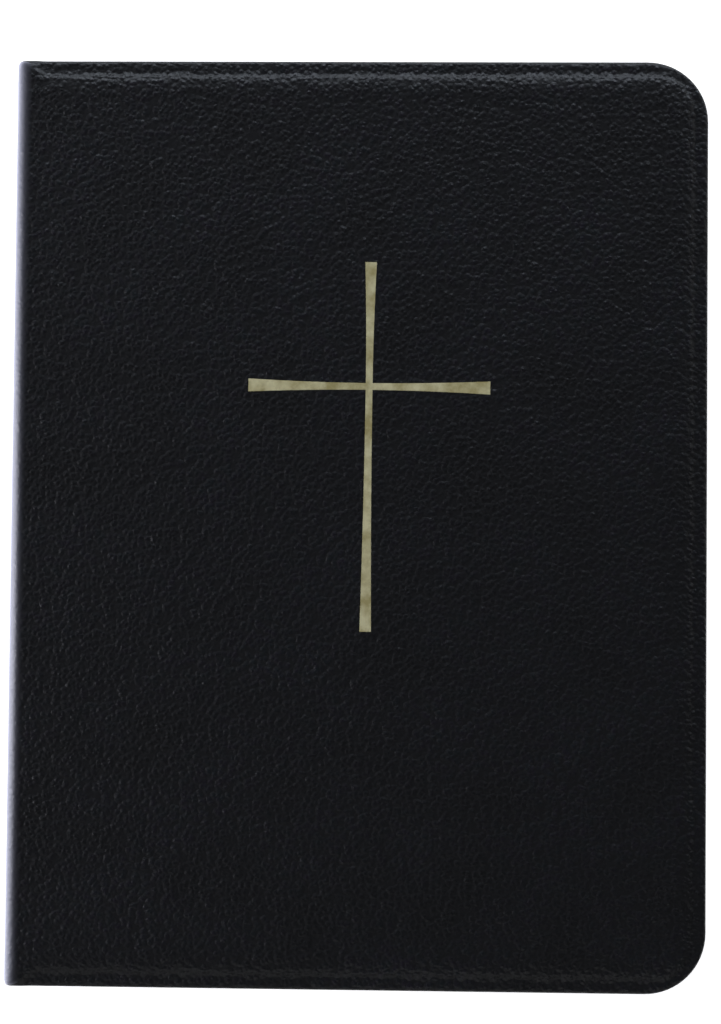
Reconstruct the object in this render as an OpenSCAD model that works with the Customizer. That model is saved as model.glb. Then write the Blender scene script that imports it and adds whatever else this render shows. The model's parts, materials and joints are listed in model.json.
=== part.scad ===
// Leather-bound prayer book, lying on its back cover.
// X runs from the spine to the fore edge, Y from tail to head, Z through the thickness.
// The origin is under the middle of the book, on the surface that it rests on.

/* [Page block] */
// Height of a page
page_h = 177.8; // [120:0.1:240]
// Width of a page
page_w = 133.3; // [90:0.1:180]
// Thickness between the two covers
block_t = 29; // [18:0.5:45]
// Radius of the rounded page corners at the fore edge
page_corner_r = 6.4; // [3:0.1:12]
// Number of sewn signatures in each half of the block
signatures_per_half = 14; // [6:1:16]
// Number of loose centre leaves in each half of the block
leaves_per_half = 2; // [1:1:3]
// Thickness of one loose leaf
leaf_t = 0.2; // [0.1:0.05:0.4]
// Thickness of a flyleaf
flyleaf_t = 0.2; // [0.1:0.05:0.4]

/* [Cover] */
// How far the covers stand past the pages at head and tail
square_h = 3.2; // [2:0.1:6]
// How far the covers stand past the pages at the fore edge
square_fore = 3.3; // [3:0.1:8]
// Thickness of the cover leather
leather_t = 0.7; // [0.5:0.05:1]
// Thickness of the board inside a cover
board_t = 1.3; // [0.9:0.1:2.2]
// Thickness of the pastedown
pastedown_t = 0.2; // [0.1:0.05:0.4]
// Thickness of the pared leather that is turned in over the board
turn_in_t = 0.3; // [0.2:0.05:0.4]
// How far the leather is turned in
turn_in_w = 14; // [9:0.5:20]
// How far the pastedown stays back from the cover's edges
pastedown_inset = 4.4; // [3:0.1:7]
// Width of the low leather lip outside the board
lip_w = 2; // [1.2:0.1:3.2]
// Outer corner radius of the cover at the fore edge
cover_corner_r = 12; // [8:0.1:16]
// Corner radius of the raised panel over the board
panel_corner_r = 8; // [4:0.1:12]

/* [Spine] */
// How far the rounded spine stands past the covers
spine_swell = 3; // [2:0.1:5]
// Radius of the leather where it turns from a cover to the spine
shoulder_r = 1.2; // [1:0.1:1.4]
// Thickness of the paper lining
lining_t = 0.3; // [0.2:0.05:0.6]
// Thickness of the mull
mull_t = 0.2; // [0.1:0.05:0.4]
// Thickness of the sewing thread
thread_t = 0.3; // [0.2:0.05:0.5]
// Number of sewing stations along the spine
sewing_stations = 6; // [4:1:9]
// Distance from the first to the last sewing station
sewing_span = 150; // [90:1:200]
// Radius of the head and tail bands
band_r = 0.9; // [0.6:0.1:1.2]

/* [Cross] */
// Distance from the fore edge to the cross's upright
cross_from_fore = 66.9; // [50:0.1:90]
// Distance from the head of the cover to the crossing
cross_from_head = 65.2; // [50:0.1:90]
// Length of each arm
cross_arm = 24; // [15:0.1:32]
// Length of the upright above the crossing
cross_top = 24.8; // [15:0.1:32]
// Length of the upright below the crossing
cross_foot = 48.6; // [30:0.1:70]
// Width of the bars at the crossing
cross_bar_w = 1.35; // [1:0.1:3]
// Width of the arms at their flared ends
arm_end_w = 2.6; // [1.6:0.1:5]
// Width of the upright at its flared ends
upright_end_w = 2.3; // [1.6:0.1:5]
// Depth of the stamped recess
stamp_depth = 0.14; // [0.05:0.01:0.3]
// Thickness of the foil in the recess
foil_t = 0.08; // [0.03:0.01:0.2]
// How far the cross is turned from upright, in degrees
cross_turn = 0.4; // [-2:0.1:2]

/* [Clearances] */
// Gap between pieces that move apart
move_gap = 0.1; // [0.05:0.01:0.2]
// How far the hinge line stands out past the middle of the swell
fold_clearance = 0.5; // [0.5:0.05:0.8]
// Gap between a cover's edge and the spine leather
hinge_gap = 0.1; // [0.05:0.01:0.2]

/* [Hidden] */
$fn = 48;
cover_t = leather_t + board_t + pastedown_t;
book_t = block_t + 2 * cover_t;
mid_z = book_t / 2;
cover_h = page_h + 2 * square_h;
spine_build = leather_t + lining_t + mull_t + thread_t;

// The hinge line stands more than halfway out to the swell, so that the covers fold clear of each other.
hinge_setback = spine_swell / 2 + fold_clearance;
sag = spine_swell - hinge_setback;
spine_r = (mid_z * mid_z + sag * sag) / (2 * sag);
spine_cx = spine_r - spine_swell;
arc_fn = 720;
fuse = 0.05;
cut_past = 1;
board_x0 = 1;
flyleaf_x = 0.4;
flare_steps = 8;
shoulder_x = spine_x(shoulder_r, 0) + shoulder_r;

// Left side of a spine layer, at height z and at a depth below the leather's outer face
function spine_x(z, depth) = spine_cx - sqrt(pow(spine_r - depth, 2) - pow(z - mid_z, 2));

cover_w = spine_x(cover_t, spine_build) + page_w + square_fore;
shift_x = (spine_swell - cover_w) / 2;
panel_drop = leather_t;
turned_d = cover_t - pastedown_t;

// Heights of the stack between the covers
flyleaf_z = cover_t + move_gap / 2;
half_z0 = flyleaf_z + flyleaf_t + move_gap;
leaf_pitch = leaf_t + move_gap;
half_z1 = mid_z - move_gap / 2;
leaves_z0 = half_z1 - leaf_pitch * leaves_per_half + move_gap;
signature_t = (leaves_z0 - move_gap - half_z0) / signatures_per_half;

headcap_depth = spine_build + 2 * band_r - thread_t;
headcap_gap = 0.4;
headcap_z0 = cover_t + headcap_gap;
band_depth = headcap_depth - band_r;

function numbered(stem, first, count) =
    [for (i = [first:first + count - 1]) str(stem, i < 10 ? "0" : "", i)];
SIGNATURES = numbered("signature_", 1, 2 * signatures_per_half);
LEAVES = numbered("centre_leaf_", 1, 2 * leaves_per_half);

black_leather = [0.07, 0.07, 0.08];
gold_foil = [0.76, 0.69, 0.5];
grey_board = [0.5, 0.47, 0.42];
black_paper = [0.1, 0.1, 0.11];
page_paper = [0.93, 0.9, 0.82];
lining_paper = [0.72, 0.62, 0.47];
mull_cloth = [0.85, 0.83, 0.76];
linen_thread = [0.9, 0.87, 0.78];
band_silk = [0.6, 0.08, 0.1];

// Moves a piece from the hinge edge's frame to the book's frame
module place() { translate([shift_x, 0, 0]) children(); }

// Turns a back cover's piece over, to the front cover
module to_front() { translate([0, 0, book_t]) mirror([0, 0, 1]) children(); }

// Leaves a rear half's piece where it is, or turns it over to the front half
module half(in_rear) {
    if (in_rear) children();
    else to_front() children();
}

// Flat sheet from x0 to x1, with round corners at the fore edge, from z0 up
module sheet(x0, x1, h, corner_r, z0, t) {
    translate([0, 0, z0]) linear_extrude(t) {
        translate([x0, -h / 2]) square([x1 - x0 - corner_r, h]);
        translate([x0, corner_r - h / 2]) square([x1 - x0, h - 2 * corner_r]);
        for (side = [-1, 1])
            translate([x1 - corner_r, side * (h / 2 - corner_r)]) circle(corner_r);
    }
}

// Sheet that follows the cover's outline at an inset
module cover_sheet(x0, inset, corner_r, z0, t) {
    sheet(x0, cover_w - inset, cover_h - 2 * inset, corner_r, z0, t);
}

// Extrudes an XZ outline along the spine
module along_spine(length) {
    rotate([90, 0, 0]) linear_extrude(length, center = true) children();
}

// Section of a spine layer between two depths, from height z0 to z1
module layer_section(depth, t, z0, z1) {
    intersection() {
        translate([spine_cx, mid_z]) difference() {
            circle(spine_r - depth, $fn = arc_fn);
            circle(spine_r - depth - t, $fn = arc_fn);
        }
        translate([-spine_swell - cut_past, z0]) square([3 * spine_swell, z1 - z0]);
    }
}

// Cover leather of one side: raised panel, low lip and turned-in edges
module cover_leather() {
    board_inset = lip_w + leather_t;
    board_corner = panel_corner_r - leather_t;
    pocket_t = turned_d - turn_in_t - leather_t;
    difference() {
        union() {
            cover_sheet(0, lip_w, panel_corner_r, 0, panel_drop);
            cover_sheet(0, 0, cover_corner_r, panel_drop, turned_d - panel_drop);
        }
        cover_sheet(-cut_past, board_inset, board_corner, leather_t, pocket_t);
        cover_sheet(-cut_past, turn_in_w, board_corner, leather_t, turned_d);
    }
}

// Board with its edges pressed down under the turned-in leather
module board() {
    board_corner = panel_corner_r - leather_t;
    cover_sheet(board_x0, lip_w + leather_t, board_corner, leather_t, board_t - turn_in_t);
    cover_sheet(board_x0, turn_in_w, board_corner, leather_t, board_t);
}

module pastedown() {
    cover_sheet(board_x0, pastedown_inset, panel_corner_r, turned_d, pastedown_t);
}

module flyleaf() {
    sheet(flyleaf_x, spine_x(cover_t, spine_build) + page_w, page_h, page_corner_r, flyleaf_z, flyleaf_t);
}

// Spine leather of the rear half: rounded back, shoulder flap and the turned caps
module spine_leather() {
    inner_r = max(0.1, shoulder_r - leather_t);
    along_spine(cover_h) {
        layer_section(0, leather_t, shoulder_r - fuse, half_z1);
        translate([shoulder_x - fuse, 0]) square([fuse - hinge_gap - shoulder_x, leather_t]);
        intersection() {
            translate([shoulder_x, shoulder_r]) difference() {
                circle(shoulder_r);
                circle(inner_r);
            }
            translate([shoulder_x - shoulder_r, 0]) square(shoulder_r);
        }
    }
    for (side = [-1, 1])
        translate([0, side * (cover_h - leather_t) / 2, 0])
            along_spine(leather_t) layer_section(0, headcap_depth, headcap_z0, half_z1);
}

// Lining or mull of the rear half of the spine
module spine_strip(depth, t, length) {
    along_spine(length) layer_section(depth, t, half_z0, half_z1);
}

// Links of thread over the folds, one at each sewing station
module sewing_thread() {
    depth = leather_t + lining_t + mull_t;
    for (i = [0:sewing_stations - 1])
        translate([0, sewing_span * (i / (sewing_stations - 1) - 0.5), 0])
            spine_strip(depth, thread_t, 2 * thread_t);
}

// Rolled band of the rear half, at the head (side 1) or the tail (side -1)
module end_band(side) {
    centre_r = spine_r - band_depth;
    split_angle = asin(move_gap / 2 / centre_r);
    end_angle = asin((mid_z - headcap_z0) / centre_r);
    translate([spine_cx, side * (page_h / 2 + band_r), mid_z])
        rotate([90, 0, 0]) rotate([0, 0, 180 + split_angle])
            rotate_extrude(angle = end_angle - split_angle) translate([centre_r, 0]) circle(band_r);
}

// One sewn signature, from z0 up: a rounded fold at the spine, trimmed at the fore edge
module signature(z0, t) {
    fold_x = spine_x(z0 + t / 2, spine_build);
    fold_w = 2 * t;
    along_spine(page_h) {
        translate([fold_x + t / 2, z0]) square([fold_w, t]);
        translate([fold_x + t / 2, z0 + t / 2]) circle(t / 2);
    }
    sheet(fold_x + fold_w, fold_x + page_w, page_h, page_corner_r, z0, t);
}

// Signatures count up from the back cover; the front half mirrors the rear half
module numbered_signature(i) {
    last = 2 * signatures_per_half - 1;
    in_rear = i < signatures_per_half;
    color(page_paper) place() half(in_rear)
        signature(half_z0 + (in_rear ? i : last - i) * signature_t, signature_t);
}

module centre_leaf(i) {
    last = 2 * leaves_per_half - 1;
    in_rear = i < leaves_per_half;
    x0 = spine_x(mid_z, spine_build) + 2 * leaf_t;
    z0 = leaves_z0 + (in_rear ? i : last - i) * leaf_pitch;
    color(page_paper) place() half(in_rear)
        sheet(x0, x0 + page_w - 2 * leaf_t, page_h, page_corner_r, z0, leaf_t);
}

// Half width of a cross bar at a part of its way from the crossing to its end
function flare(part, end_w) = (cross_bar_w + (end_w - cross_bar_w) * part * part) / 2;

// Cross bar along X that reaches back and ahead of the crossing, with gently flared ends
module cross_bar(back, ahead, end_w) {
    parts = [for (i = [-flare_steps:flare_steps]) i / flare_steps];
    upper = [for (p = parts) [p * (p < 0 ? back : ahead), flare(p, end_w)]];
    lower = [for (p = parts) [-p * (p > 0 ? back : ahead), -flare(p, end_w)]];
    polygon(concat(upper, lower));
}

module cross_stamp(z0, t) {
    translate([cover_w - cross_from_fore, cover_h / 2 - cross_from_head, z0])
        rotate([0, 0, -cross_turn]) linear_extrude(t) {
            cross_bar(cross_arm, cross_arm, arm_end_w);
            rotate(90) cross_bar(cross_foot, cross_top, upright_end_w);
        }
}

module back_cover_leather() { color(black_leather) place() cover_leather(); }
module back_board() { color(grey_board) place() board(); }
module back_pastedown() { color(black_paper) place() pastedown(); }
module back_flyleaf() { color(black_paper) place() flyleaf(); }
module front_cover_leather() {
    color(black_leather) place() difference() {
        to_front() cover_leather();
        cross_stamp(book_t - stamp_depth, stamp_depth + cut_past);
    }
}
module front_board() { color(grey_board) place() to_front() board(); }
module front_pastedown() { color(black_paper) place() to_front() pastedown(); }
module front_flyleaf() { color(black_paper) place() to_front() flyleaf(); }
module gold_cross() { color(gold_foil) place() cross_stamp(book_t - stamp_depth, foil_t); }

module rear_spine_leather() { color(black_leather) place() spine_leather(); }
module front_spine_leather() { color(black_leather) place() to_front() spine_leather(); }
module lining() { color(lining_paper) spine_strip(leather_t, lining_t, page_h); }
module rear_spine_lining() { place() lining(); }
module front_spine_lining() { place() to_front() lining(); }
module mull() { color(mull_cloth) spine_strip(leather_t + lining_t, mull_t, page_h - 2 * square_h); }
module rear_mull() { place() mull(); }
module front_mull() { place() to_front() mull(); }
module rear_sewing_thread() { color(linen_thread) place() sewing_thread(); }
module front_sewing_thread() { color(linen_thread) place() to_front() sewing_thread(); }
module rear_headband() { color(band_silk) place() end_band(1); }
module rear_tailband() { color(band_silk) place() end_band(-1); }
module front_headband() { color(band_silk) place() to_front() end_band(1); }
module front_tailband() { color(band_silk) place() to_front() end_band(-1); }

back_cover_leather();
back_board();
back_pastedown();
back_flyleaf();
rear_spine_leather();
rear_spine_lining();
rear_mull();
rear_sewing_thread();
rear_headband();
rear_tailband();
front_spine_leather();
front_spine_lining();
front_mull();
front_sewing_thread();
front_headband();
front_tailband();
front_flyleaf();
front_pastedown();
front_board();
front_cover_leather();
gold_cross();
for (i = [0:2 * signatures_per_half - 1])
    numbered_signature(i);
for (i = [0:2 * leaves_per_half - 1])
    centre_leaf(i);
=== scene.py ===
import json
import math

import bmesh
import bpy
import numpy as np
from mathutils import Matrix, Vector, geometry, noise


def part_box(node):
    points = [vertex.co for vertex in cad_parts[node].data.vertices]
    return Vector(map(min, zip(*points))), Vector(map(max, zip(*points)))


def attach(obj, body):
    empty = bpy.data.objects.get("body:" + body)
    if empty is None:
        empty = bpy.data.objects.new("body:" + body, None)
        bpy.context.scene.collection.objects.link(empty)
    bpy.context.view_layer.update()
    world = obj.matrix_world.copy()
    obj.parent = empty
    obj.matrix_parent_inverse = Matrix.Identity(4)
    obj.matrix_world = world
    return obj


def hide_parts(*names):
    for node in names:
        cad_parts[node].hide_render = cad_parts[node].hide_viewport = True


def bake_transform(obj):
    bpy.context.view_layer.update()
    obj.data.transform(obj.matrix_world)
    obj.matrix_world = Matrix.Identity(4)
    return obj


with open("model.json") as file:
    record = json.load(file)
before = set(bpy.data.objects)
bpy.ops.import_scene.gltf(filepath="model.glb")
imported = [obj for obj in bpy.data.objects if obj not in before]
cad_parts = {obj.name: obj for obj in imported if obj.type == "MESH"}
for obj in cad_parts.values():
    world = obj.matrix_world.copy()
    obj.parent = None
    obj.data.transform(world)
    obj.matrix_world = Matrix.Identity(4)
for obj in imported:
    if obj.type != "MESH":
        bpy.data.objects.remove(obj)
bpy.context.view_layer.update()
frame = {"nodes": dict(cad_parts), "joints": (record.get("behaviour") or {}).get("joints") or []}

mm = 0.001
nodes = frame["nodes"]
jointAt = {j["name"]: Vector(j["pos_m"]) for j in frame["joints"]}
print("frame loaded:", len(nodes), "nodes")

# The book's own measures, read from the frame.
coverLow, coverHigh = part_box("front_cover_leather")
book = {
    "thick": coverHigh.z,
    "mid": coverHigh.z / 2,
    "edgeX": coverLow.x,
    "foreX": coverHigh.x,
    "halfHigh": coverHigh.y,
    "swellX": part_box("front_spine_leather")[0].x,  # the spine's outermost line
    "spineWall": 1.5 * mm,  # from the spine's outer face to the pages
}
sag = jointAt["front_hinge"].x - book["swellX"]
book["spineR"] = (book["mid"] ** 2 + sag ** 2) / (2 * sag)
book["spineX"] = book["swellX"] + book["spineR"]  # centre of the spine's curve

# The skin's section is the spine's curve, the shoulder's, and then the flat of the cover.
# A place on the skin is q, the way along that section from the spine's middle, and y.
shoulderR = 2.3 * mm
shoulderZ = book["thick"] - shoulderR
shoulderX = book["spineX"] - math.sqrt((book["spineR"] - shoulderR) ** 2 - (shoulderZ - book["mid"]) ** 2)
arcEnd = math.atan2(shoulderZ - book["mid"], book["spineX"] - shoulderX)
arcLong = book["spineR"] * arcEnd
flatQ = arcLong + shoulderR * (math.pi / 2 - arcEnd)
foreQ = flatQ + book["foreX"] - shoulderX

# A long lens that looks almost straight down on the front cover; place in mm, turn in degrees.
cameraSet = {"place": (21.66, -26.84, 594.77), "turn": (2.955, 2.073, 0.545), "lens": 100, "film": 36,
             "clip": (0.01, 20)}


def addObject(name, data):
    obj = bpy.data.objects.new(name, data)
    bpy.context.scene.collection.objects.link(obj)
    return obj


def makeCamera():
    data = bpy.data.cameras.new("bookCamera")
    data.sensor_fit = "VERTICAL"
    data.sensor_height = cameraSet["film"]
    data.lens = cameraSet["lens"]
    data.clip_start, data.clip_end = cameraSet["clip"]
    camera = addObject("bookCamera", data)
    camera.location = [v * mm for v in cameraSet["place"]]
    camera.rotation_euler = [math.radians(v) for v in cameraSet["turn"]]
    bpy.context.scene.camera = camera


# Soft boxes that all point at the book; places and sizes in metres, power in watts.
studio = {
    "headLight": {"place": (0.10, 1.20, 0.75), "size": (2.2, 0.36), "power": 13.2,
                  "colour": (0.80, 0.88, 1.0)},
    "tailLight": {"place": (0.0, -0.80, 0.70), "size": (1.3, 0.3), "power": 0.9,
                  "colour": (0.95, 0.97, 1.0)},
    "spineLight": {"place": (-0.95, 0.0, 0.08), "size": (0.14, 1.4), "power": 11,
                   "colour": (0.90, 0.91, 1.0)},
    "foreLight": {"place": (0.95, 0.3, 0.50), "size": (0.3, 1.0), "power": 0.5,
                  "colour": (0.97, 0.98, 1.0)},
}
room = {"colour": (0.96, 0.97, 1.0, 1), "glow": 0.06}


def makeStudio():
    for name, light in studio.items():
        data = bpy.data.lights.new(name, "AREA")
        data.shape = "RECTANGLE"
        data.size, data.size_y = light["size"]
        data.energy = light["power"]
        data.color = light["colour"]
        lamp = addObject(name, data)
        lamp.location = light["place"]
        lamp.rotation_euler = (-Vector(light["place"])).to_track_quat("-Z", "Y").to_euler()
    world = bpy.data.worlds.new("paleRoom")
    bpy.context.scene.world = world
    world.use_nodes = True
    glow = world.node_tree.nodes["Background"].inputs
    glow["Color"].default_value = room["colour"]
    glow["Strength"].default_value = room["glow"]
    bpy.context.scene.view_settings.view_transform = "Standard"


makeCamera()
makeStudio()
print("camera and studio ready")


# Adds a node: an input given as a socket is linked, and any other value is set.
def addNode(tree, kind, inputs=None, **settings):
    node = tree.nodes.new(kind)
    for key, value in settings.items():
        setattr(node, key, value)
    for key, value in (inputs or {}).items():
        if isinstance(value, bpy.types.NodeSocket):
            tree.links.new(value, node.inputs[key])
        else:
            node.inputs[key].default_value = value
    return node


def mathNode(tree, operation, a, b=0.0, c=0.0, clamp=False):
    node = addNode(tree, "ShaderNodeMath", {0: a, 1: b, 2: c}, operation=operation, use_clamp=clamp)
    return node.outputs[0]


def mapRange(tree, value, low, high, toLow, toHigh):
    node = addNode(tree, "ShaderNodeMapRange", {0: value, 1: low, 2: high, 3: toLow, 4: toHigh})
    return node.outputs[0]


def mixColour(tree, share, first, second):
    node = addNode(tree, "ShaderNodeMix", {0: share, 6: first, 7: second}, data_type="RGBA")
    return node.outputs[2]


def newGroup(name, inputs, outputs):
    tree = bpy.data.node_groups.new(name, "ShaderNodeTree")
    for label, kind, value in inputs:
        socket = tree.interface.new_socket(label, in_out="INPUT", socket_type=kind)
        if value is not None:
            socket.default_value = value
    for label, kind in outputs:
        tree.interface.new_socket(label, in_out="OUTPUT", socket_type=kind)
    return tree, tree.nodes.new("NodeGroupInput"), tree.nodes.new("NodeGroupOutput")


def newMaterial(name):
    material = bpy.data.materials.new(name)
    material.use_nodes = True
    tree = material.node_tree
    return material, tree, tree.nodes["Principled BSDF"]


def useGroup(tree, group, inputs):
    return addNode(tree, "ShaderNodeGroup", inputs, node_tree=group)


def setBump(tree, shader, height, distance, strength):
    bump = addNode(tree, "ShaderNodeBump", {"Height": height, "Distance": distance, "Strength": strength})
    tree.links.new(bump.outputs[0], shader.inputs["Normal"])


grainSet = {"wobbleScale": 900.0, "wobble": 0.5 * mm, "domeReach": 0.75, "fineScale": 1700.0,
            "fineShare": 0.45, "creaseWidth": 0.05}


# Pebbled leather: rounded cells of uneven size, broken by soft creases.
def makeGrainGroup():
    tree, given, result = newGroup(
        "pebbleGrain",
        [("Vector", "NodeSocketVector", None), ("Pebble Size", "NodeSocketFloat", 0.0013),
         ("Crease Size", "NodeSocketFloat", 0.009), ("Crease Depth", "NodeSocketFloat", 0.5)],
        [("Height", "NodeSocketFloat"), ("Valley", "NodeSocketFloat"), ("Crease", "NodeSocketFloat")])
    place = given.outputs["Vector"]
    pebbles = mathNode(tree, "DIVIDE", 1.0, given.outputs["Pebble Size"])
    creases = mathNode(tree, "DIVIDE", 1.0, given.outputs["Crease Size"])
    wobble = addNode(tree, "ShaderNodeTexNoise",
                     {"Vector": place, "Scale": grainSet["wobbleScale"], "Detail": 2.0})
    shift = addNode(tree, "ShaderNodeVectorMath", {0: wobble.outputs["Color"], 1: (0.5, 0.5, 0.5)},
                    operation="SUBTRACT")
    scaled = addNode(tree, "ShaderNodeVectorMath", {0: shift.outputs[0], "Scale": grainSet["wobble"]},
                     operation="SCALE")
    bent = addNode(tree, "ShaderNodeVectorMath", {0: place, 1: scaled.outputs[0]},
                   operation="ADD").outputs[0]
    cells = addNode(tree, "ShaderNodeTexVoronoi", {"Vector": bent, "Scale": pebbles, "Randomness": 1.0,
                                                   "Smoothness": 0.35}, feature="SMOOTH_F1")
    dome = mapRange(tree, cells.outputs["Distance"], 0.0, grainSet["domeReach"], 1.0, 0.0)
    fine = addNode(tree, "ShaderNodeTexNoise",
                   {"Vector": place, "Scale": grainSet["fineScale"], "Detail": 3.0, "Roughness": 0.6})
    broad = addNode(tree, "ShaderNodeTexNoise",
                    {"Vector": place, "Scale": creases, "Detail": 3.0, "Roughness": 0.55})
    fold = mathNode(tree, "ABSOLUTE", mathNode(tree, "SUBTRACT", broad.outputs["Fac"], 0.5))
    crease = mapRange(tree, fold, 0.0, grainSet["creaseWidth"], 1.0, 0.0)
    height = mathNode(tree, "MULTIPLY_ADD", fine.outputs["Fac"], grainSet["fineShare"], dome)
    drop = mathNode(tree, "MULTIPLY", crease, given.outputs["Crease Depth"])
    total = mathNode(tree, "SUBTRACT", height, drop)
    tree.links.new(total, result.inputs["Height"])
    tree.links.new(mathNode(tree, "SUBTRACT", 1.0, dome), result.inputs["Valley"])
    tree.links.new(crease, result.inputs["Crease"])
    return tree


# Paper fibre: a fine felt of short strands, for every paper and board.
def makeFibreGroup():
    tree, given, result = newGroup(
        "paperFibre",
        [("Vector", "NodeSocketVector", None), ("Fibre Size", "NodeSocketFloat", 0.0006)],
        [("Height", "NodeSocketFloat"), ("Mottle", "NodeSocketFloat")])
    place = given.outputs["Vector"]
    scale = mathNode(tree, "DIVIDE", 1.0, given.outputs["Fibre Size"])
    strands = addNode(tree, "ShaderNodeTexNoise",
                      {"Vector": place, "Scale": scale, "Detail": 4.0, "Roughness": 0.7, "Distortion": 1.4})
    clouds = addNode(tree, "ShaderNodeTexNoise", {"Vector": place, "Scale": 45.0, "Detail": 3.0})
    tree.links.new(strands.outputs["Fac"], result.inputs["Height"])
    tree.links.new(clouds.outputs["Fac"], result.inputs["Mottle"])
    return tree


# The leather over the joint gets a smoother grain, and its base colour gets a pale painted sheen at a low
# angle, standing in for a reflection.
# Edge is where the cover's flat begins, and Spine is where the spine's curve ends.
smoothAndPaintedSheenSet = {"outerDepth": 0.3 * mm, "spineFade": 1.5 * mm}


def makeSmoothAndPaintedSheenGroup():
    tree, given, result = newGroup(
        "smoothAndPaintedSheenJoint",
        [("Place", "NodeSocketVector", None), ("Edge", "NodeSocketFloat", 0.0),
         ("Soft", "NodeSocketFloat", 0.001), ("Spine", "NodeSocketFloat", 0.0)],
        [("Mask", "NodeSocketFloat")])
    place = addNode(tree, "ShaderNodeSeparateXYZ", {0: given.outputs["Place"]}).outputs
    past = mathNode(tree, "SUBTRACT", place["X"], given.outputs["Edge"])
    share = mathNode(tree, "DIVIDE", past, given.outputs["Soft"])
    outside = mathNode(tree, "LESS_THAN", place["Z"], smoothAndPaintedSheenSet["outerDepth"])
    jointShare = mathNode(tree, "SUBTRACT", 1.0, share, clamp=True)
    onSpine = mathNode(tree, "SUBTRACT", given.outputs["Spine"], place["X"])
    faded = mathNode(tree, "DIVIDE", onSpine, smoothAndPaintedSheenSet["spineFade"])
    spared = mathNode(tree, "SUBTRACT", 1.0, faded, clamp=True)
    shown = mathNode(tree, "MULTIPLY", jointShare, spared)
    tree.links.new(mathNode(tree, "MULTIPLY", shown, outside), result.inputs["Mask"])
    return tree


grainGroup = makeGrainGroup()
fibreGroup = makeFibreGroup()
smoothAndPaintedSheenGroup = makeSmoothAndPaintedSheenGroup()

leatherLook = {
    "pebble": 0.95 * mm,
    "crease": 11 * mm,
    "creaseDepth": 0.25,
    "bump": 0.15 * mm,
    "jointBump": 0.35,
    "jointSoft": 0.9 * mm,
    "rough": (0.29, 0.41),
    "dark": (0.0036, 0.0036, 0.0044, 1),
    "plum": (0.0105, 0.0080, 0.0150, 1),
    "slate": (0.0070, 0.0105, 0.0130, 1),
    "paintedSheen": (0.82, 0.82, 1.0, 1),
}


def makeLeather():
    material, tree, shader = newMaterial("blackPebbledLeather")
    place = addNode(tree, "ShaderNodeAttribute", attribute_name="skinPlace").outputs["Vector"]
    grain = useGroup(tree, grainGroup, {"Vector": place, "Pebble Size": leatherLook["pebble"],
                                        "Crease Size": leatherLook["crease"],
                                        "Crease Depth": leatherLook["creaseDepth"]})
    tone = addNode(tree, "ShaderNodeTexNoise", {"Vector": place, "Scale": 60.0, "Detail": 4.0})
    toned = mapRange(tree, tone.outputs["Fac"], 0.35, 0.68, 0.0, 1.0)
    hue = addNode(tree, "ShaderNodeTexNoise", {"Vector": place, "Scale": 340.0, "Detail": 2.0})
    tint = mapRange(tree, hue.outputs["Fac"], 0.4, 0.6, 0.0, 1.0)
    pale = mixColour(tree, tint, leatherLook["plum"], leatherLook["slate"])
    # Random tone on the pebble tops, with the valleys held at the dark colour as painted shade in the
    # grain's hollows.
    toneAndPaintedValleyShade = mathNode(tree, "MULTIPLY", toned, mathNode(tree, "SUBTRACT", 1.0, grain.outputs["Valley"]))
    colour = mixColour(tree, toneAndPaintedValleyShade, leatherLook["dark"], pale)
    joint = useGroup(tree, smoothAndPaintedSheenGroup, {"Place": place, "Edge": flatQ, "Soft": leatherLook["jointSoft"],
                                          "Spine": arcLong})
    # Painted sheen: on the shoulder's outer face the base colour turns pale towards grazing angles, in
    # place of a reflection.
    low = addNode(tree, "ShaderNodeLayerWeight", {"Blend": 0.5}).outputs["Facing"]
    glow = mathNode(tree, "MULTIPLY", joint.outputs["Mask"], low, clamp=True)
    tree.links.new(mixColour(tree, glow, colour, leatherLook["paintedSheen"]), shader.inputs["Base Color"])
    tree.links.new(mapRange(tree, grain.outputs["Valley"], 0.0, 0.8, *leatherLook["rough"]),
                   shader.inputs["Roughness"])
    strength = mapRange(tree, joint.outputs["Mask"], 0.0, 1.0, 1.0, leatherLook["jointBump"])
    setBump(tree, shader, grain.outputs["Height"], leatherLook["bump"], strength)
    return material


foilLook = {"dull": (0.52, 0.44, 0.19, 1), "bright": (1.0, 0.92, 0.55, 1), "patch": 260.0,
            "metallic": 0.35, "rough": (0.5, 0.34), "bump": 0.04 * mm}


def makeFoil():
    material, tree, shader = newMaterial("stampedGoldFoil")
    place = addNode(tree, "ShaderNodeTexCoord").outputs["Object"]
    grain = useGroup(tree, grainGroup, {"Vector": place, "Pebble Size": leatherLook["pebble"],
                                        "Crease Size": leatherLook["crease"], "Crease Depth": 0.1})
    patch = addNode(tree, "ShaderNodeTexNoise", {"Vector": place, "Scale": foilLook["patch"],
                                                 "Detail": 4.0, "Roughness": 0.6})
    share = mapRange(tree, patch.outputs["Fac"], 0.35, 0.65, 0.0, 1.0)
    colour = mixColour(tree, share, foilLook["dull"], foilLook["bright"])
    tree.links.new(colour, shader.inputs["Base Color"])
    shader.inputs["Metallic"].default_value = foilLook["metallic"]
    tree.links.new(mapRange(tree, patch.outputs["Fac"], 0.3, 0.7, *foilLook["rough"]),
                   shader.inputs["Roughness"])
    setBump(tree, shader, grain.outputs["Height"], foilLook["bump"], 0.5)
    return material


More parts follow.
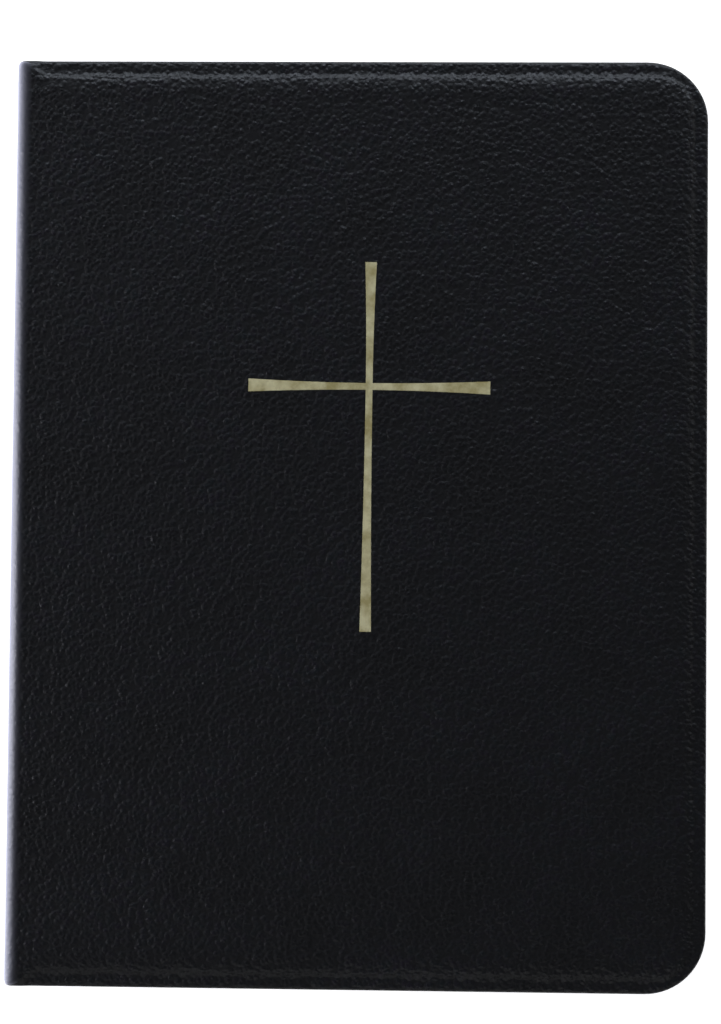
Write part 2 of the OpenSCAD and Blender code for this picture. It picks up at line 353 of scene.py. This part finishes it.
def makePaper(name, dark, pale, fibre=0.0006, rough=0.85, bump=0.00002):
    material, tree, shader = newMaterial(name)
    place = addNode(tree, "ShaderNodeTexCoord").outputs["Object"]
    felt = useGroup(tree, fibreGroup, {"Vector": place, "Fibre Size": fibre})
    blended = mathNode(tree, "MULTIPLY_ADD", felt.outputs["Height"], 0.6,
                       mathNode(tree, "MULTIPLY", felt.outputs["Mottle"], 0.5))
    share = mapRange(tree, blended, 0.35, 0.75, 0.0, 1.0)
    tree.links.new(mixColour(tree, share, dark, pale), shader.inputs["Base Color"])
    shader.inputs["Roughness"].default_value = rough
    setBump(tree, shader, felt.outputs["Height"], bump, 0.6)
    return material


pageLook = {
    "cream": ((0.80, 0.75, 0.62, 1), (0.88, 0.84, 0.73, 1)),
    "gilt": ((0.52, 0.36, 0.13, 1), (0.86, 0.66, 0.31, 1)),
    "streaks": (40.0, 40.0, 3000.0),
    "rough": (0.85, 0.34),
    "metallic": 0.85,
}


# Page stock whose trimmed edges are gilt: a face that stands upright is an edge.
def makeGiltPages():
    material, tree, shader = newMaterial("giltEdgedPages")
    coord = addNode(tree, "ShaderNodeTexCoord")
    place = coord.outputs["Object"]
    upright = addNode(tree, "ShaderNodeSeparateXYZ", {0: coord.outputs["Normal"]}).outputs["Z"]
    edge = mathNode(tree, "LESS_THAN", mathNode(tree, "ABSOLUTE", upright), 0.5)
    felt = useGroup(tree, fibreGroup, {"Vector": place, "Fibre Size": 0.0006})
    paper = mixColour(tree, felt.outputs["Mottle"], *pageLook["cream"])
    streaks = addNode(tree, "ShaderNodeMapping", {"Vector": place, "Scale": pageLook["streaks"]})
    bands = addNode(tree, "ShaderNodeTexNoise", {"Vector": streaks.outputs[0], "Scale": 1.0, "Detail": 3.0})
    share = mapRange(tree, bands.outputs["Fac"], 0.35, 0.65, 0.0, 1.0)
    gilt = mixColour(tree, share, *pageLook["gilt"])
    tree.links.new(mixColour(tree, edge, paper, gilt), shader.inputs["Base Color"])
    tree.links.new(mathNode(tree, "MULTIPLY", edge, pageLook["metallic"]), shader.inputs["Metallic"])
    tree.links.new(mapRange(tree, edge, 0.0, 1.0, *pageLook["rough"]), shader.inputs["Roughness"])
    return material


def makeThread(name, dark, pale):
    material, tree, shader = newMaterial(name)
    place = addNode(tree, "ShaderNodeTexCoord").outputs["Object"]
    twist = addNode(tree, "ShaderNodeTexWave",
                    {"Vector": place, "Scale": 900.0, "Distortion": 2.0, "Detail": 1.0},
                    bands_direction="DIAGONAL")
    tree.links.new(mixColour(tree, twist.outputs["Fac"], dark, pale), shader.inputs["Base Color"])
    shader.inputs["Roughness"].default_value = 0.6
    shader.inputs["Sheen Weight"].default_value = 0.3
    setBump(tree, shader, twist.outputs["Fac"], 0.05 * mm, 0.5)
    return material


# Two silks wound in turns round a core.
def makeBandSilk():
    material, tree, shader = newMaterial("woundBandSilk")
    place = addNode(tree, "ShaderNodeTexCoord").outputs["Object"]
    turns = addNode(tree, "ShaderNodeTexWave", {"Vector": place, "Scale": 260.0, "Distortion": 0.4},
                    bands_direction="Z")
    strands = addNode(tree, "ShaderNodeTexWave", {"Vector": place, "Scale": 1500.0}, bands_direction="Z")
    choice = mathNode(tree, "GREATER_THAN", turns.outputs["Fac"], 0.5)
    red = mixColour(tree, strands.outputs["Fac"], (0.16, 0.008, 0.014, 1), (0.50, 0.035, 0.055, 1))
    gold = mixColour(tree, strands.outputs["Fac"], (0.36, 0.25, 0.08, 1), (0.86, 0.70, 0.34, 1))
    tree.links.new(mixColour(tree, choice, red, gold), shader.inputs["Base Color"])
    shader.inputs["Roughness"].default_value = 0.42
    shader.inputs["Sheen Weight"].default_value = 0.4
    setBump(tree, shader, strands.outputs["Fac"], 0.08 * mm, 0.7)
    return material


def makeMull():
    material, tree, shader = newMaterial("openMullWeave")
    place = addNode(tree, "ShaderNodeTexCoord").outputs["Object"]
    warp = addNode(tree, "ShaderNodeTexWave", {"Vector": place, "Scale": 320.0}, bands_direction="Y")
    weft = addNode(tree, "ShaderNodeTexWave", {"Vector": place, "Scale": 320.0}, bands_direction="Z")
    weave = mathNode(tree, "MAXIMUM", warp.outputs["Fac"], weft.outputs["Fac"])
    colour = mixColour(tree, weave, (0.42, 0.36, 0.25, 1), (0.80, 0.77, 0.68, 1))
    tree.links.new(colour, shader.inputs["Base Color"])
    shader.inputs["Roughness"].default_value = 0.9
    setBump(tree, shader, weave, 0.1 * mm, 0.8)
    return material


finish = {
    "leather": makeLeather(),
    "foil": makeFoil(),
    "pages": makeGiltPages(),
    "endpaper": makePaper("blackEndpaper", (0.010, 0.010, 0.012, 1), (0.022, 0.022, 0.026, 1), 0.0008, 0.7),
    "board": makePaper("greyLinerBoard", (0.25, 0.23, 0.19, 1), (0.42, 0.39, 0.33, 1), 0.0012, 0.9,
                       0.00006),
    "lining": makePaper("kraftLining", (0.38, 0.28, 0.16, 1), (0.56, 0.44, 0.28, 1), 0.0010, 0.85,
                        0.00004),
    "mull": makeMull(),
    "thread": makeThread("linenThread", (0.60, 0.54, 0.42, 1), (0.86, 0.82, 0.72, 1)),
    "bandSilk": makeBandSilk(),
}


def dress(nodeName, material):
    mesh = nodes[nodeName].data
    mesh.materials.clear()
    mesh.materials.append(material)


for half in ("rear", "front"):
    dress(half + "_spine_lining", finish["lining"])
    dress(half + "_mull", finish["mull"])
    dress(half + "_sewing_thread", finish["thread"])
    dress(half + "_headband", finish["bandSilk"])
    dress(half + "_tailband", finish["bandSilk"])
for side in ("front", "back"):
    dress(side + "_board", finish["board"])
    dress(side + "_pastedown", finish["endpaper"])
    dress(side + "_flyleaf", finish["endpaper"])
for name in nodes:
    if name.startswith("centre_leaf"):
        dress(name, finish["pages"])
dress("gold_cross", finish["foil"])
print("materials ready")


leather = {
    "skin": 0.72 * mm,  # thickness of the leather
    "midStrip": 1.4 * mm,  # half the width of the strip down the spine's middle
    "fillStep": 0.66 * mm,  # size of the outer face's triangles
    "underStep": 3 * mm,  # and of the inner face's
    "edgeStep": 0.75 * mm,  # spacing of points along the head and the tail
    "cornerReach": 20 * mm,  # where the head's points start to lead to the corner
    "reachSteps": 22,
    "turnSteps": 17,
    "foreSteps": 130,
    "cornerFill": 12 * mm,  # square at each corner where the fill is cut to the round
    "stampDepth": 0.16 * mm,
    "stampBevel": 0.10 * mm,
    "undulation": 0.07 * mm,
    "calmRim": 9 * mm,  # the hollows fade out towards the rim, the spine and the stamp
    "calmSpine": 4 * mm,
    "calmStamp": 1.2 * mm,
    "patternShift": 0.4,  # sets the grain of one skin apart from the next
}
# The leather where the cover opens, along q from the start of the cover's flat.
hinge = {
    "thinFrom": (-6 * mm, -3.3 * mm),
    "thinTo": (1.3 * mm, 4 * mm),
    "thinShare": 0.85,
    "columns": (-5 * mm, 3.1 * mm, 0.35 * mm),
    "capToCover": (-1 * mm, 5 * mm),
    "bendStart": 2.17 * mm,  # out from the cover's edge
    "bendRun": 2.5 * mm,
    "bendRise": 1.5 * mm,
}
# Edge profiles in mm, from the panel outwards, round the free edge and back under the board.
# The cover has inset, depth and corner radius, and the spine's turned cap has inset and depth.
coverEdge = [
    (6.2, 0.0, 4.0), (5.4, 0.03, 4.6), (4.7, 0.08, 5.2), (4.1, 0.15, 5.8), (3.65, 0.235, 6.2),
    (3.3, 0.34, 6.6), (3.05, 0.45, 6.9), (2.85, 0.54, 7.2), (2.6, 0.62, 7.5), (2.3, 0.67, 7.8),
    (1.8, 0.695, 8.6), (1.1, 0.70, 10.0), (0.55, 0.74, 11.2), (0.22, 0.88, 11.7), (0.05, 1.10, 11.95),
    (0.0, 1.36, 12.0), (0.08, 1.62, 11.9), (0.3, 1.84, 11.6), (0.7, 1.98, 11.1), (4.0, 2.0, 8.0),
    (13.7, 2.0, 2.0), (14.0, 1.94, 1.8), (14.0, 1.72, 1.8), (4.0, 1.71, 6.2), (2.66, 1.70, 7.3),
    (2.6, 1.2, 7.4), (2.66, 0.72, 7.3)]
capEdge = [
    (6.2, 0.0), (4.8, 0.0), (3.6, 0.0), (2.7, 0.0), (2.0, 0.0),
    (1.5, 0.01), (1.1, 0.03), (0.8, 0.07), (0.55, 0.13), (0.34, 0.22),
    (0.18, 0.36), (0.07, 0.55), (0.01, 0.80), (0.0, 1.1), (0.0, 1.5),
    (0.03, 1.9), (0.12, 2.25), (0.3, 2.5), (0.55, 2.62), (0.85, 2.6),
    (1.08, 2.42), (1.18, 2.1), (1.24, 1.6), (1.3, 1.1), (1.5, 0.8),
    (2.1, 0.73), (2.66, 0.72)]


def skinPoint(q, y, depth):
    q, y, depth = np.broadcast_arrays(q, y, depth)
    angle = np.where(q < arcLong, q / book["spineR"], arcEnd + (q - arcLong) / shoulderR)
    angle = np.minimum(angle, math.pi / 2)
    onArc = q < arcLong
    radius = np.where(onArc, book["spineR"], shoulderR)
    centreX = np.where(onArc, book["spineX"], shoulderX) + np.maximum(q - flatQ, 0)
    centreZ = np.where(onArc, book["mid"], shoulderZ)
    x = centreX - (radius - depth) * np.cos(angle)
    z = centreZ + (radius - depth) * np.sin(angle)
    return np.stack([x, y, z], axis=-1)


def smooth(value, low, high):
    t = np.clip((value - low) / (high - low), 0, 1)
    return t * t * (3 - 2 * t)


# One ring of the outline, from the head's spine end round the fore edge to the tail's spine end.
def outlineRing(startQ, inset, corner):
    topY = book["halfHigh"] - inset
    endQ = foreQ - inset
    straight = endQ - corner
    nearCorner = foreQ - leather["cornerReach"]
    columns = int(round((nearCorner - startQ) / leather["edgeStep"]))
    rim = np.linspace(startQ, nearCorner, columns)
    last = np.linspace(nearCorner, straight, leather["reachSteps"])[1:]
    turn = np.linspace(math.pi / 2, 0, leather["turnSteps"])[1:-1]
    cornerQ = straight + corner * np.cos(turn)
    cornerY = topY - corner + corner * np.sin(turn)
    down = np.linspace(topY - corner, 0, leather["foreSteps"])[:-1]
    headQ = np.concatenate([rim, last, cornerQ, np.full(len(down), endQ)])
    headY = np.concatenate([np.full(len(rim) + len(last), topY), cornerY, down])
    allQ = np.concatenate([headQ, [endQ], headQ[::-1]])
    allY = np.concatenate([headY, [0.0], -headY[::-1]])
    return allQ, allY


def waves(q, y, seed):
    # Soft hollows, and long creases that run across the cover.
    values = np.empty(len(q))
    for i, (a, b) in enumerate(zip(q, y)):
        broad = noise.noise(Vector((a * 38, b * 60, seed)))
        bend = noise.noise(Vector((a * 90, b * 240, seed + 7)))
        line = abs(noise.noise(Vector((a * 45 + 0.3 * bend, b * 170 + 0.5 * bend, seed + 3))))
        crease = max(0.0, 1 - line / 0.12)
        patch = min(1.0, max(0.0, 0.2 + 1.6 * noise.noise(Vector((a * 22, b * 30, seed + 11)))))
        values[i] = 0.35 + 0.35 * broad + 0.55 * crease * crease * patch
    return np.clip(values, 0, 1.3) * leather["undulation"]


def crossLoop():
    # The foil's outline, from the edges round its upper face.
    mesh = nodes["gold_cross"].data
    world = nodes["gold_cross"].matrix_world
    use = {}
    for face in mesh.polygons:
        if face.normal.z > 0.9:
            for a, b in face.edge_keys:
                use[(a, b)] = use.get((a, b), 0) + 1
    near = {}
    for (a, b), count in use.items():
        if count == 1:
            near.setdefault(a, []).append(b)
            near.setdefault(b, []).append(a)
    start = next(iter(near))
    loop, before, here = [start], None, start
    while True:
        following = [n for n in near[here] if n != before]
        before, here = here, following[0]
        if here == start:
            break
        loop.append(here)
    points = [(world @ mesh.vertices[i].co) for i in loop]
    area = sum(a.x * b.y - b.x * a.y for a, b in zip(points, points[1:] + points[:1]))
    if area < 0:
        points.reverse()
    return np.array([(p.x, p.y) for p in points])


def grownLoop(loop, out):
    before = loop - np.roll(loop, 1, axis=0)
    after = np.roll(loop, -1, axis=0) - loop
    before /= np.linalg.norm(before, axis=1)[:, None]
    after /= np.linalg.norm(after, axis=1)[:, None]
    sideA = np.stack([before[:, 1], -before[:, 0]], axis=1)
    sideB = np.stack([after[:, 1], -after[:, 0]], axis=1)
    push = sideA + sideB
    push *= (2 / np.sum(push * push, axis=1))[:, None]
    return loop + push * out


def insideLoop(q, y, loop):
    inside = np.zeros(len(q), bool)
    for (ax, ay), (bx, by) in zip(loop, np.roll(loop, -1, axis=0)):
        if ay != by:
            crosses = ((ay > y) != (by > y)) & (q < (bx - ax) * (y - ay) / (by - ay) + ax)
            inside ^= crosses
    return inside


def loopDistance(q, y, loop):
    best = np.full(len(q), 1.0)
    for a, b in zip(loop, np.roll(loop, -1, axis=0)):
        along = b - a
        t = np.clip(((q - a[0]) * along[0] + (y - a[1]) * along[1]) / along.dot(along), 0, 1)
        best = np.minimum(best, np.hypot(q - a[0] - t * along[0], y - a[1] - t * along[1]))
    return best


# Fills the inside of a ring with even triangles, round any loops that have to stay crisp.
def fillRing(ring, step, loops, columns=()):
    ringQ, ringY = ring
    outline = np.stack([ringQ, ringY], axis=1)
    lowQ, highQ, highY = ringQ.min(), ringQ.max(), ringY.max()
    points, edges = [tuple(p) for p in outline], []
    count = len(points)
    closing = int((2 * highY) / step)
    points += [(lowQ, -highY + 2 * highY * i / closing) for i in range(1, closing)]
    edges += [(i, i + 1) for i in range(len(points) - 1)] + [(len(points) - 1, 0)]
    rim = np.array(points)
    for loop in loops:
        first = len(points)
        points += [tuple(p) for p in loop]
        edges += [(first + i, first + (i + 1) % len(loop)) for i in range(len(loop))]
    rowPitch = step * 0.866
    rows = np.arange(-highY + step * 0.6, highY - step * 0.4, rowPitch)
    hexQ, hexY = [], []
    for number, row in enumerate(rows):
        line = np.arange(lowQ + step * (0.6 + 0.5 * (number % 2)), highQ - step * 0.5, step)
        hexQ.append(line)
        hexY.append(np.full(len(line), row))
    hexQ, hexY = np.concatenate(hexQ), np.concatenate(hexY)
    corner = (hexQ > highQ - leather["cornerFill"]) & (np.abs(hexY) > highY - leather["cornerFill"])
    keep = np.ones(len(hexQ), bool)
    keep[corner] = insideLoop(hexQ[corner], hexY[corner], rim)
    keep[corner] &= loopDistance(hexQ[corner], hexY[corner], outline) > step * 0.45
    if len(columns):
        keep &= (hexQ < columns[0]) | (hexQ > columns[-1])
        gridQ, gridY = np.meshgrid(columns, rows)
        hexQ, hexY = np.append(hexQ, gridQ), np.append(hexY, gridY)
        keep = np.append(keep, np.ones(gridQ.size, bool))
    for loop in loops:
        low, high = loop.min(axis=0) - step, loop.max(axis=0) + step
        around = (hexQ > low[0]) & (hexQ < high[0]) & (hexY > low[1]) & (hexY < high[1])
        keep[around] &= loopDistance(hexQ[around], hexY[around], loop) > step * 0.4
    points += list(zip(hexQ[keep], hexY[keep]))
    scale = 1000.0  # in mm, so that the tolerance is a fine one
    sites = [Vector((a * scale, b * scale)) for a, b in points]
    result = geometry.delaunay_2d_cdt(sites, edges, [], 0, 1e-5)
    flat = np.array(result[0]) / scale
    faces = [tuple(f) for f in result[2]]
    firstOf = {}
    for index, sources in enumerate(result[3]):
        for source in sources:
            firstOf[source] = index
    middle = np.array([flat[list(f)].mean(axis=0) for f in faces])
    inner = insideLoop(middle[:, 0], middle[:, 1], rim)
    return flat, [f for f, good in zip(faces, inner) if good], [firstOf[i] for i in range(count)]


def makeMesh(name, points, faces, smoothAngle=35):
    mesh = bpy.data.meshes.new(name)
    mesh.from_pydata([tuple(p) for p in points], [], faces)
    obj = addObject(name, mesh)
    edit = bmesh.new()
    edit.from_mesh(mesh)
    bmesh.ops.holes_fill(edit, edges=[e for e in edit.edges if e.is_boundary], sides=0)
    bmesh.ops.recalc_face_normals(edit, faces=edit.faces)
    edit.to_mesh(mesh)
    edit.free()
    mesh.shade_smooth()
    mesh.set_sharp_from_angle(angle=math.radians(smoothAngle))
    return obj


def setPlace(obj, values):
    layer = obj.data.attributes.new("skinPlace", "FLOAT_VECTOR", "POINT")
    layer.data.foreach_set("vector", np.asarray(values, dtype=np.float32).ravel())


# The turned-in leather is pared thin where the cover hinges, so that it folds flat.
def pared(q):
    offset = q - flatQ
    zone = smooth(offset, *hinge["thinFrom"]) * (1 - smooth(offset, *hinge["thinTo"]))
    return 1 - hinge["thinShare"] * zone


# One half's skin: cover, shoulder and half of the spine in a single closed piece.
def makeSkin(name, front, seed):
    startQ = leather["midStrip"]
    loops = []
    if front:
        foil = crossLoop()
        foil[:, 0] += flatQ - shoulderX
        loops = [foil, grownLoop(foil, leather["stampBevel"])]
    inset, _, corner = coverEdge[0]
    panelRing = outlineRing(startQ, inset * mm, corner * mm)
    flat, faces, rimIndex = fillRing(panelRing, leather["fillStep"], loops)
    flatAlong, flatY = flat[:, 0], flat[:, 1]
    depth = waves(flatAlong, flatY, seed)
    nearRim = np.minimum(foreQ - flatAlong, book["halfHigh"] - np.abs(flatY))
    depth *= smooth(nearRim, inset * mm, leather["calmRim"])
    depth *= smooth(flatAlong, startQ, startQ + leather["calmSpine"])
    if front:
        depth *= smooth(loopDistance(flatAlong, flatY, loops[1]), 0, leather["calmStamp"])
        stampFloor = insideLoop(flatAlong, flatY, grownLoop(foil, 0.3 * leather["stampBevel"]))
        depth[stampFloor] = leather["stampDepth"]
    places = [np.stack([flatAlong, flatY, depth], axis=1)]
    total = len(flat)
    skin = leather["skin"]
    previous = rimIndex
    for (inset, deep, corner), (capInset, capDeep) in zip(coverEdge[1:], capEdge[1:]):
        coverQ, coverY = outlineRing(startQ, inset * mm, corner * mm)
        _, capY = outlineRing(startQ, capInset * mm, corner * mm)
        share = smooth(coverQ - flatQ, *hinge["capToCover"])
        ringY = coverY * share + capY * (1 - share)
        ringDeep = (deep * share + capDeep * (1 - share)) * mm
        ringDeep = np.where(ringDeep > skin, skin + (ringDeep - skin) * pared(coverQ), ringDeep)
        places.append(np.stack([coverQ, ringY, ringDeep], axis=1))
        ring = list(range(total, total + len(coverQ)))
        faces += [(a, c, d, b) for a, b, c, d in zip(previous, previous[1:], ring, ring[1:])]
        total += len(coverQ)
        previous = ring
    lastInset, lastDeep, lastCorner = (v * mm for v in coverEdge[-1])
    firstFold, lastFold, foldStep = hinge["columns"]
    folds = np.arange(flatQ + firstFold, flatQ + lastFold, foldStep)
    underRing = outlineRing(startQ, lastInset, lastCorner)
    under, underFaces, underRim = fillRing(underRing, leather["underStep"], [], folds)
    match = {index: previous[k] for k, index in enumerate(underRim)}
    fresh = [i for i in range(len(under)) if i not in match]
    for k, index in enumerate(fresh):
        match[index] = total + k
    places.append(np.stack([under[fresh, 0], under[fresh, 1], np.full(len(fresh), lastDeep)], axis=1))
    faces += [tuple(match[i] for i in reversed(f)) for f in underFaces]
    place = np.concatenate(places)
    points = skinPoint(place[:, 0], place[:, 1], place[:, 2])
    if not front:
        points[:, 2] = book["thick"] - points[:, 2]
    obj = makeMesh(name, points, faces)
    setPlace(obj, place + np.array([0.0, seed * leather["patternShift"], 0.0]))
    obj.data.materials.append(finish["leather"])
    return obj


frontSkin = makeSkin("frontLeather", True, 1.0)
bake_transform(frontSkin)
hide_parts("front_cover_leather", "front_spine_leather")
backSkin = makeSkin("backLeather", False, 2.0)
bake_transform(backSkin)
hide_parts("back_cover_leather", "rear_spine_leather")
print("leather skins:", len(frontSkin.data.polygons), len(backSkin.data.polygons), "faces")


strip = {"across": 15, "outside": 260, "inside": 40}


# The strip down the middle of the spine, where the book opens at its centre.
def makeSpineStrip():
    across = np.linspace(-leather["midStrip"], leather["midStrip"], strip["across"])
    inner = book["halfHigh"] - capEdge[0][0] * mm
    body = np.linspace(inner, -inner, strip["outside"])
    rim = [(book["halfHigh"] - inset * mm, depth * mm) for inset, depth in reversed(capEdge)]
    line = rim[:-1] + [(y, 0.0) for y in body] + [(-y, d) for y, d in reversed(rim[:-1])]
    back = np.linspace(-line[0][0], line[0][0], strip["inside"])[1:-1]
    line += [(y, capEdge[-1][1] * mm) for y in back]
    ys, depths = np.array(line).T
    count = len(line)
    points, places, faces = [], [], []
    for q in across:
        found = skinPoint(np.full(count, abs(q)), ys, depths)
        if q < 0:
            found[:, 2] = book["thick"] - found[:, 2]
        points.append(found)
        places.append(np.stack([np.full(count, q), ys, depths], axis=1))
    for i in range(len(across) - 1):
        for k in range(count):
            n = (k + 1) % count
            faces.append((i * count + k, i * count + n, (i + 1) * count + n, (i + 1) * count + k))
    obj = makeMesh("spineCentreLeather", np.concatenate(points), faces)
    setPlace(obj, np.concatenate(places) + np.array([0.0, leather["patternShift"], 0.0]))
    obj.data.materials.append(finish["leather"])
    return obj


spineStrip = makeSpineStrip()
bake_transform(spineStrip)
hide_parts("rear_spine_leather", "front_spine_leather")
print("spine strip ready")


pages = {
    "count": 220,
    "leafThick": 0.045 * mm,
    "cornerR": 6.4 * mm,
    "jitter": 0.07 * mm,
}


def plainLeaf(name, wide, halfHigh, corner, thick):
    turn = np.linspace(0, math.pi / 2, 9)
    arc = [(wide - corner + corner * math.sin(t), halfHigh - corner + corner * math.cos(t)) for t in turn]
    rim = [(0.0, halfHigh)] + arc + [(x, -y) for x, y in reversed(arc)] + [(0.0, -halfHigh)]
    count = len(rim)
    points = [(x, y, 0.0) for x, y in rim] + [(x, y, thick) for x, y in rim]
    faces = [tuple(reversed(range(count, 2 * count))), tuple(range(count))]
    faces += [(i, i + count, (i + 1) % count + count, (i + 1) % count) for i in range(count)]
    return makeMesh(name, points, faces)


# Stacks one leaf up along the spine's curve, with a little unevenness at the edges.
def makeStackTree():
    tree = bpy.data.node_groups.new("leafStack", "GeometryNodeTree")
    ask = tree.interface.new_socket
    ask("Geometry", in_out="INPUT", socket_type="NodeSocketGeometry")
    ask("Count", in_out="INPUT", socket_type="NodeSocketInt")
    for label in ("Pitch", "Start Height", "Arc Radius", "Arc Centre", "Middle Height", "Jitter"):
        ask(label, in_out="INPUT", socket_type="NodeSocketFloat")
    ask("Seed", in_out="INPUT", socket_type="NodeSocketInt")
    ask("Material", in_out="INPUT", socket_type="NodeSocketMaterial")
    ask("Geometry", in_out="OUTPUT", socket_type="NodeSocketGeometry")
    given = tree.nodes.new("NodeGroupInput").outputs
    result = tree.nodes.new("NodeGroupOutput").inputs
    step = addNode(tree, "ShaderNodeCombineXYZ", {"Z": given["Pitch"]}).outputs[0]
    base = addNode(tree, "ShaderNodeCombineXYZ", {"Z": given["Start Height"]}).outputs[0]
    line = addNode(tree, "GeometryNodeMeshLine",
                   {"Count": given["Count"], "Start Location": base, "Offset": step})
    spot = addNode(tree, "GeometryNodeInputPosition").outputs[0]
    height = addNode(tree, "ShaderNodeSeparateXYZ", {0: spot}).outputs["Z"]
    rise = mathNode(tree, "SUBTRACT", height, given["Middle Height"])
    reach = mathNode(tree, "SUBTRACT", mathNode(tree, "MULTIPLY", given["Arc Radius"], given["Arc Radius"]),
                     mathNode(tree, "MULTIPLY", rise, rise))
    left = mathNode(tree, "SUBTRACT", given["Arc Centre"], mathNode(tree, "SQRT", reach))
    less = mathNode(tree, "MULTIPLY", given["Jitter"], -0.5)
    more = mathNode(tree, "MULTIPLY", given["Jitter"], 0.5)
    low = addNode(tree, "ShaderNodeCombineXYZ", {"X": 0.0, "Y": less, "Z": 0.0}).outputs[0]
    high = addNode(tree, "ShaderNodeCombineXYZ", {"X": given["Jitter"], "Y": more, "Z": 0.0}).outputs[0]
    uneven = addNode(tree, "FunctionNodeRandomValue", data_type="FLOAT_VECTOR")
    tree.links.new(low, uneven.inputs[0])
    tree.links.new(high, uneven.inputs[1])
    tree.links.new(given["Seed"], uneven.inputs["Seed"])
    along = addNode(tree, "ShaderNodeCombineXYZ", {"X": left}).outputs[0]
    shift = addNode(tree, "ShaderNodeVectorMath", {0: along, 1: uneven.outputs[0]},
                    operation="ADD").outputs[0]
    placed = addNode(tree, "GeometryNodeSetPosition", {"Geometry": line.outputs[0], "Offset": shift})
    stack = addNode(tree, "GeometryNodeInstanceOnPoints",
                    {"Points": placed.outputs[0], "Instance": given["Geometry"]})
    real = addNode(tree, "GeometryNodeRealizeInstances", {"Geometry": stack.outputs[0]})
    dressed = addNode(tree, "GeometryNodeSetMaterial",
                      {"Geometry": real.outputs[0], "Material": given["Material"]})
    tree.links.new(dressed.outputs[0], result["Geometry"])
    return tree


def grow(obj, tree, values):
    modifier = obj.modifiers.new("stack", "NODES")
    modifier.node_group = tree
    for item in tree.interface.items_tree:
        if item.in_out == "INPUT" and item.name in values:
            modifier[item.identifier] = values[item.name]
    bpy.context.view_layer.update()
    made = bpy.data.meshes.new_from_object(obj.evaluated_get(bpy.context.evaluated_depsgraph_get()))
    obj.modifiers.clear()
    obj.data = made
    return obj


stackTree = makeStackTree()


def makePages(half, firstNumber, lastNumber, seed):
    names = ["signature_%02d" % i for i in range(firstNumber, lastNumber + 1)]
    boxes = [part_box(n) for n in names]
    low = min(b[0].z for b in boxes)
    high = max(b[1].z for b in boxes)
    wide = boxes[0][1].x - boxes[0][0].x - 2 * pages["jitter"]
    halfHigh = boxes[0][1].y - pages["jitter"]
    obj = plainLeaf(half + "Pages", wide, halfHigh, pages["cornerR"], pages["leafThick"])
    grow(obj, stackTree, {
        "Count": pages["count"], "Pitch": (high - low - pages["leafThick"]) / (pages["count"] - 1),
        "Start Height": low, "Arc Radius": book["spineR"] - book["spineWall"], "Arc Centre": book["spineX"],
        "Middle Height": book["mid"], "Jitter": pages["jitter"], "Seed": seed, "Material": finish["pages"]})
    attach(obj, half + "_half")
    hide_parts(*names)


makePages("rear", 1, 14, 3)
makePages("front", 15, 28, 4)


fold = {
    "reach": 0.35 * mm,  # how far each side runs into its half
    "turnAt": 0.3 * mm,
    "thick": 0.02 * mm,
    "gap": 0.03 * mm,
    "deepness": 5,  # depth of the turn in its own radii
    "short": 0.2 * mm,
}


# The fold of paper in the gutter, between the two halves.
def makeCentreFold():
    innerX = book["swellX"] + book["spineWall"]
    gap = fold["gap"]
    turn = np.linspace(-math.pi / 2, math.pi / 2, 25)

    def oneSide(radius):
        endX = innerX + fold["reach"]
        turnX = innerX + fold["turnAt"]
        arc = [(turnX - radius * math.cos(t) * fold["deepness"], book["mid"] + radius * math.sin(t))
               for t in turn]
        return [(endX, book["mid"] - radius)] + arc + [(endX, book["mid"] + radius)]

    outer = oneSide(gap + fold["thick"])
    loop = outer + oneSide(gap)[::-1]
    count = len(loop)
    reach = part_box("signature_14")[1].y - fold["short"]
    points = [(x, y, z) for y in (-reach, reach) for x, z in loop]
    faces = [(k, (k + 1) % count, (k + 1) % count + count, k + count) for k in range(count)]
    for row in (0, count):
        for k in range(len(outer) - 1):
            faces.append((row + k, row + count - 1 - k, row + count - 2 - k, row + k + 1))
    obj = makeMesh("centreFold", points, faces)
    obj.data.materials.append(finish["pages"])
    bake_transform(obj)


makeCentreFold()
print("pages ready")


# The floor is low enough to clear the block when it hangs off the back cover.
floorSet = {"reach": 15.0, "drop": 1.08 * book["thick"], "colour": (0.85, 0.85, 0.86, 1), "rough": 0.9,
            "glow": 0.85}


def makeFloor():
    mesh = bpy.data.meshes.new("paleFloor")
    reach, low = floorSet["reach"], -floorSet["drop"]
    corners = [(-reach, -reach, low), (reach, -reach, low), (reach, reach, low), (-reach, reach, low)]
    mesh.from_pydata(corners, [], [(0, 1, 2, 3)])
    floor = addObject("paleFloor", mesh)
    material, _, shader = newMaterial("paleGround")
    shader.inputs["Base Color"].default_value = floorSet["colour"]
    shader.inputs["Roughness"].default_value = floorSet["rough"]
    shader.inputs["Emission Color"].default_value = (1, 1, 1, 1)
    shader.inputs["Emission Strength"].default_value = floorSet["glow"]
    mesh.materials.append(material)


makeFloor()

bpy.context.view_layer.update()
